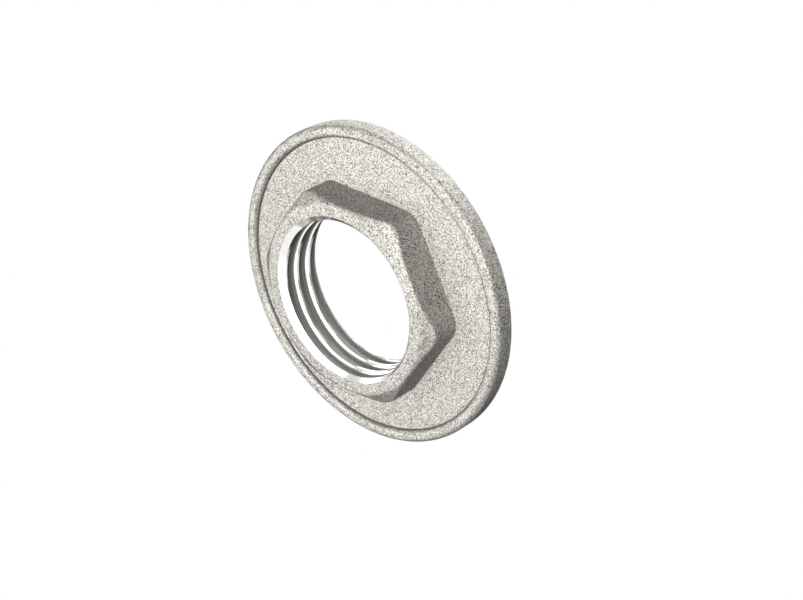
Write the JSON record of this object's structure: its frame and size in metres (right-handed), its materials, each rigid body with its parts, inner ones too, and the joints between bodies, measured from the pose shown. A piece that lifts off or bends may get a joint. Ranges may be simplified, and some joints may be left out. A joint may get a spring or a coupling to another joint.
{
  "type": "flange lock nut",
  "caption": "Low hexagon lock nut cast in one piece with a wide round flange, a raised rounded rim round the flange's edge and a chamfered threaded hole.",
  "frame": {"origin": "centre of the hole at the flange's flat back face", "axes": "+Z along the hole's axis, from the flange's back face towards the hexagon's front face; +X square to one of the hexagon's flats"},
  "size_m": [0.04, 0.04, 0.0064],
  "materials": {
    "cast_metal": "grainy light grey coated casting, with the thread and its chamfers cut bright"
  },
  "bodies": {
    "root": {"nut": "cast_metal"}
  },
  "joints": []
}
